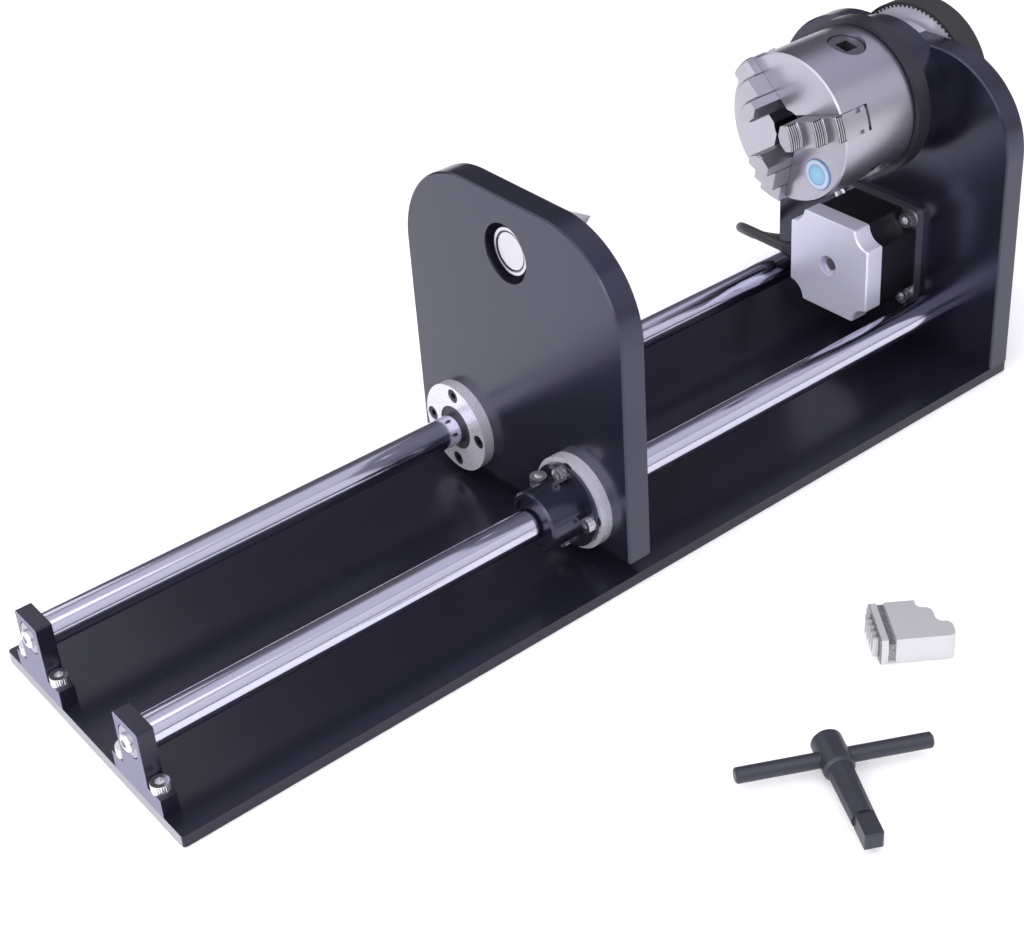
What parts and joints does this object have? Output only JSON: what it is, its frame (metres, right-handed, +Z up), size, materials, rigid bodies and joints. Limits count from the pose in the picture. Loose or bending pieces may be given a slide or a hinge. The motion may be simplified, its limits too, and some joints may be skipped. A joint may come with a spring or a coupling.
{
  "type": "laser rotary attachment",
  "caption": "Rotary attachment for a laser engraver: geared scroll chuck driven by a belt and stepper motor, facing a sliding tailstock with a live centre on two rails.",
  "frame": {"origin": "middle of the base plate's underside", "axes": "+X along the rails from the tailstock to the chuck, +Z up, +Y to the motor cable's side"},
  "size_m": [0.6157, 0.3733, 0.194],
  "materials": {
    "black_anodised": "gloss black anodised",
    "ground_steel": "ground",
    "polished_shaft": "polished",
    "black_steel": "black oxide, satin",
    "zinc_screw": "bright zinc",
    "cast_aluminium": "satin",
    "black_rubber": "matt",
    "black_plastic": "matt",
    "white_plastic": "satin",
    "blue_enamel": "gloss",
    "ring_steel": "turned"
  },
  "bodies": {
    "base": {"base_plate": "black_anodised", "support_screws": "zinc_screw", "headstock_foot_screws": "black_steel", "rail_near": "polished_shaft", "rail_far": "polished_shaft", "shaft_support_near": "black_anodised", "shaft_support_far": "black_anodised", "headstock_plate": "black_anodised", "rail_screws": "black_steel", "bearing_housing": "black_anodised", "housing_screws": "black_steel", "spindle_bearing_outer": "ring_steel", "motor_rear_bell": "cast_aluminium", "motor_stator": "black_steel", "motor_front_flange": "cast_aluminium", "motor_screws": "zinc_screw", "motor_bearings": "ring_steel", "motor_cable": "black_plastic", "cable_gland": "black_rubber", "cable_coil": "black_plastic", "cable_plug": "white_plastic", "drive_belt": "black_rubber"},
    "chuck_spindle": {"spindle": "ground_steel", "spindle_screws": "black_steel", "chuck_back_plate": "black_steel", "chuck_screws": "black_steel", "spindle_spacer": "ring_steel", "chuck_body": "ground_steel", "chuck_cover": "ground_steel", "big_pulley": "cast_aluminium", "spindle_lock_nut": "black_steel", "spindle_bearing_inner": "ring_steel", "face_badge": "blue_enamel"},
    "scroll": {"scroll_plate": "ring_steel"},
    "jaw_body_1": {"jaw_1": "ground_steel"},
    "jaw_body_2": {"jaw_2": "ground_steel"},
    "jaw_body_3": {"jaw_3": "ground_steel"},
    "pinion_body_1": {"pinion_1": "ring_steel"},
    "pinion_body_2": {"pinion_2": "ring_steel"},
    "pinion_body_3": {"pinion_3": "ring_steel"},
    "motor_rotor": {"motor_shaft": "polished_shaft", "motor_pulley": "cast_aluminium", "pulley_grub_screw": "black_steel"},
    "tailstock": {"tailstock_plate": "black_anodised", "linear_bearing_near": "ring_steel", "linear_bearing_far": "ring_steel", "bearing_liners": "black_plastic", "far_bearing_screws": "black_steel", "lock_collar": "black_anodised", "collar_screws": "zinc_screw", "centre_sleeve": "ring_steel", "sleeve_screws": "black_steel", "centre_bearing_outer": "ring_steel"},
    "clamp_screw": {"collar_clamp_screw": "zinc_screw"},
    "turning_centre": {"live_centre": "ground_steel", "centre_end_cap": "ring_steel", "centre_bearing_inner": "ring_steel"},
    "chuck_key": {"key_shank": "black_steel", "key_bar": "black_steel"},
    "loose_jaw": {"spare_jaw": "ground_steel"}
  },
  "joints": [
    {"name": "spindle_spin", "type": "hinge", "parent": "base", "child": "chuck_spindle", "pos_m": [0.2, 0, 0.151], "axis": [1, 0, 0], "continuous": true},
    {"name": "motor_spin", "type": "hinge", "parent": "base", "child": "motor_rotor", "pos_m": [0.25, 0, 0.057], "axis": [1, 0, 0], "continuous": true},
    {"name": "scroll_turn", "type": "hinge", "parent": "chuck_spindle", "child": "scroll", "pos_m": [0.195, 0, 0.151], "axis": [1, 0, 0], "range_deg": [-715, 715]},
    {"name": "jaw_slide_1", "type": "slide", "parent": "chuck_spindle", "child": "jaw_body_1", "axis": [0, -0.9511, 0.309], "range_m": [-0.008, 0.008]},
    {"name": "jaw_slide_2", "type": "slide", "parent": "chuck_spindle", "child": "jaw_body_2", "axis": [0, 0.7431, 0.6691], "range_m": [-0.008, 0.008]},
    {"name": "jaw_slide_3", "type": "slide", "parent": "chuck_spindle", "child": "jaw_body_3", "axis": [0, 0.2079, -0.9781], "range_m": [-0.008, 0.008]},
    {"name": "pinion_turn_1", "type": "hinge", "parent": "chuck_spindle", "child": "pinion_body_1", "pos_m": [0.2042, -0.00707, 0.18426], "axis": [0, -0.2079, 0.9781], "range_deg": [-3456, 3456]},
    {"name": "pinion_turn_2", "type": "hinge", "parent": "chuck_spindle", "child": "pinion_body_2", "pos_m": [0.2042, 0.03234, 0.14049], "axis": [0, 0.9511, -0.309], "range_deg": [-3456, 3456]},
    {"name": "pinion_turn_3", "type": "hinge", "parent": "chuck_spindle", "child": "pinion_body_3", "pos_m": [0.2042, -0.02527, 0.12825], "axis": [0, -0.7431, -0.6691], "range_deg": [-3456, 3456]},
    {"name": "tailstock_slide", "type": "slide", "parent": "base", "child": "tailstock", "axis": [1, 0, 0], "range_m": [-0.205, 0.1]},
    {"name": "clamp_turn", "type": "hinge", "parent": "tailstock", "child": "clamp_screw", "pos_m": [-0.031, -0.0335, 0.0445], "axis": [0, 0, 1], "range_deg": [0, 360]},
    {"name": "centre_spin", "type": "hinge", "parent": "tailstock", "child": "turning_centre", "pos_m": [0.01, 0, 0.151], "axis": [1, 0, 0], "continuous": true},
    {"name": "key_lift", "type": "slide", "parent": "base", "child": "chuck_key", "axis": [0, 0, 1], "range_m": [0, 0.12]},
    {"name": "loose_jaw_lift", "type": "slide", "parent": "base", "child": "loose_jaw", "axis": [0, 0, 1], "range_m": [0, 0.12]}
  ],
  "couplings": [
    {"joint": "motor_spin", "follows": "spindle_spin", "ratio": 4},
    {"joint": "jaw_slide_1", "follows": "scroll_turn", "m_per_rad": -0.00063662},
    {"joint": "jaw_slide_2", "follows": "scroll_turn", "m_per_rad": -0.00063662},
    {"joint": "jaw_slide_3", "follows": "scroll_turn", "m_per_rad": -0.00063662},
    {"joint": "pinion_turn_1", "follows": "scroll_turn", "ratio": 4.8},
    {"joint": "pinion_turn_2", "follows": "scroll_turn", "ratio": 4.8},
    {"joint": "pinion_turn_3", "follows": "scroll_turn", "ratio": 4.8}
  ]
}
